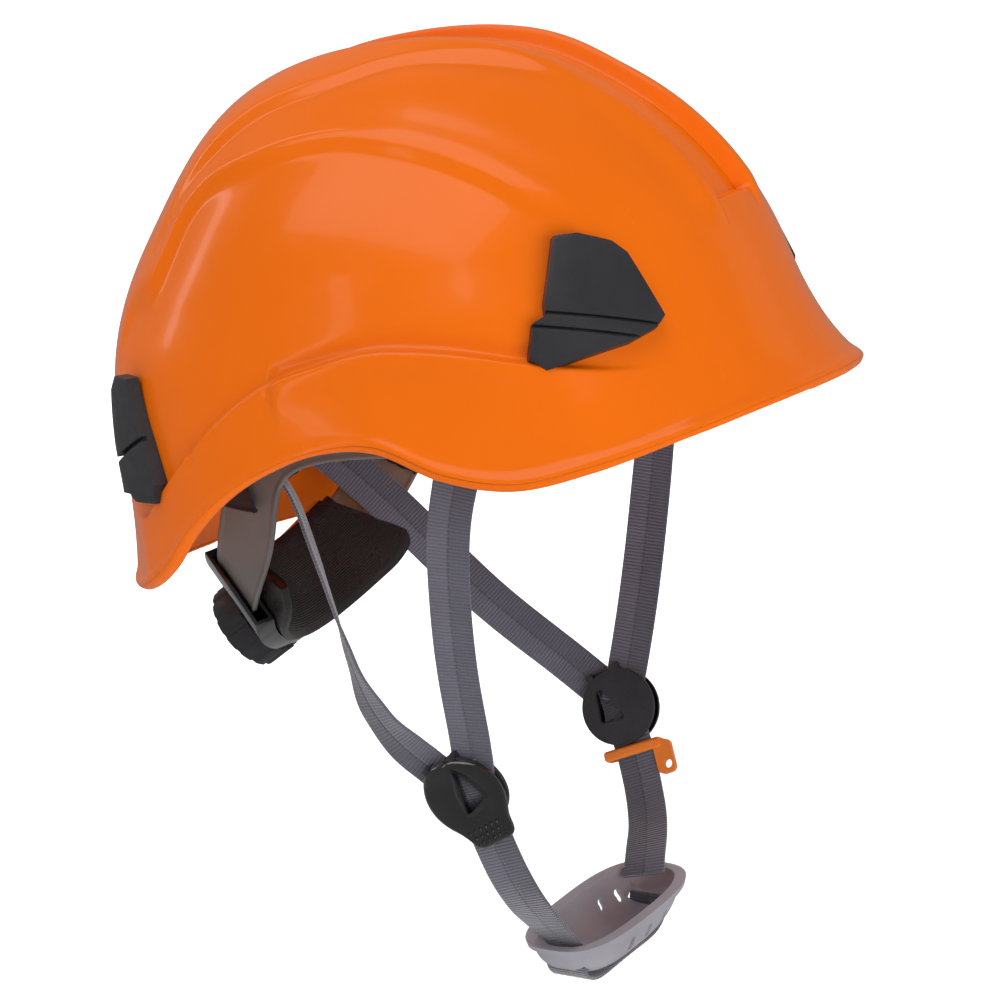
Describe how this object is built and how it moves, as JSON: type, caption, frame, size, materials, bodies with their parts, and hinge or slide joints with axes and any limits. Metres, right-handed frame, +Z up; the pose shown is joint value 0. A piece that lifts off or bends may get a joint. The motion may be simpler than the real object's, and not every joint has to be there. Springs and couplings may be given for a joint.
{
  "type": "arborist helmet",
  "caption": "Work-at-height safety helmet: glossy peaked shell with lamp clips, webbing cradle, headband with ratchet nape adjuster, Y chin harness with soft cup.",
  "frame": {"origin": "Centre of the wearer's head at the headband, on the mid-plane. This is the head mount, which holds the helmet up.", "axes": "+Z up through the crown, -Y forward to the peak, +X to the wearer's left. The shell's rim slopes up 12 degrees to the peak, as it is worn."},
  "size_m": [0.2156, 0.2743, 0.3356],
  "materials": {
    "shell": "high-gloss moulded ABS, orange",
    "black_plastic": "fine-grained black nylon",
    "knob_cap": "smooth black cap in the knob's face",
    "gloss_black": "polished black plastic",
    "webbing": "cross-ribbed grey polyester webbing, two tones with a centre line",
    "band_plastic": "smooth satin grey polyethylene",
    "brow_foam": "grey brushed sweatband fabric over foam",
    "nape_foam": "soft ribbed black pad",
    "orange_plastic": "satin orange plastic",
    "cup_rubber": "soft smooth grey rubber",
    "steel": "plain steel pin"
  },
  "bodies": {
    "helmet": {"anchor_front_left": "black_plastic", "anchor_front_right": "black_plastic", "anchor_rear_left": "black_plastic", "anchor_rear_right": "black_plastic", "arm_pad_left": "nape_foam", "arm_pad_right": "nape_foam", "buckle_plate_left": "black_plastic", "buckle_plate_right": "black_plastic", "clip_front_left": "black_plastic", "clip_front_right": "black_plastic", "clip_rear_left": "black_plastic", "clip_rear_right": "black_plastic", "crown_pad": "black_plastic", "crown_strap_a": "webbing", "crown_strap_b": "webbing", "crown_strap_c": "webbing", "front_strap_left": "webbing", "front_strap_right": "webbing", "hanger_front_left": "band_plastic", "hanger_front_right": "band_plastic", "hanger_side_left": "band_plastic", "hanger_side_right": "band_plastic", "headband": "band_plastic", "hook_front_left": "black_plastic", "hook_front_right": "black_plastic", "hook_rear_left": "black_plastic", "hook_rear_right": "black_plastic", "hook_side_left": "black_plastic", "hook_side_right": "black_plastic", "lever_pin_left": "steel", "lever_pin_right": "steel", "lower_strap_left": "webbing", "lower_strap_right": "webbing", "nape_housing": "gloss_black", "nape_pad": "nape_foam", "rear_strap_left": "webbing", "rear_strap_right": "webbing", "shell": "shell", "sweatband": "brow_foam", "yoke_left": "black_plastic", "yoke_right": "black_plastic"},
    "knob": {"knob": "black_plastic", "knob_cap": "knob_cap", "pinion": "black_plastic"},
    "rack_left": {"rack_left": "black_plastic"},
    "rack_right": {"rack_right": "black_plastic"},
    "lever_left": {"buckle_cover_left": "gloss_black"},
    "lever_right": {"buckle_cover_right": "gloss_black"},
    "release": {"release_frame": "orange_plastic"},
    "chin_cup": {"chin_cup": "cup_rubber", "cup_webbing": "webbing"}
  },
  "joints": [
    {"name": "knob_turn", "type": "hinge", "parent": "helmet", "child": "knob", "pos_m": [0, 0.0757, -0.0757], "axis": [0, 0.7771, -0.6293], "range_deg": [-90, 90]},
    {"name": "rack_left_slide", "type": "hinge", "parent": "helmet", "child": "rack_left", "pos_m": [0, 0.02402, -0.03385], "axis": [0, 0.6293, 0.7771], "range_deg": [-7.14, 7.14]},
    {"name": "rack_right_slide", "type": "hinge", "parent": "helmet", "child": "rack_right", "pos_m": [0, 0.02402, -0.03385], "axis": [0, 0.6293, 0.7771], "range_deg": [-7.14, 7.14]},
    {"name": "lever_left_open", "type": "hinge", "parent": "helmet", "child": "lever_left", "pos_m": [0.07641, -0.03059, -0.10847], "axis": [0.1501, -0.8387, 0.5235], "range_deg": [0, 35]},
    {"name": "lever_right_open", "type": "hinge", "parent": "helmet", "child": "lever_right", "pos_m": [-0.07641, -0.03059, -0.10447], "axis": [0.1501, 0.8387, -0.5235], "range_deg": [0, 35]},
    {"name": "release_slide", "type": "slide", "parent": "helmet", "child": "release", "axis": [-0.3111, -0.3843, -0.8692], "range_m": [0, 0.006]},
    {"name": "chin_cup_tilt", "type": "hinge", "parent": "helmet", "child": "chin_cup", "pos_m": [0, -0.062, -0.1745], "axis": [0.9907, -0.0867, 0.1045], "range_deg": [-6, 6]}
  ],
  "couplings": [
    {"joint": "rack_left_slide", "follows": "knob_turn", "ratio": -0.079365},
    {"joint": "rack_right_slide", "follows": "knob_turn", "ratio": 0.079365}
  ]
}
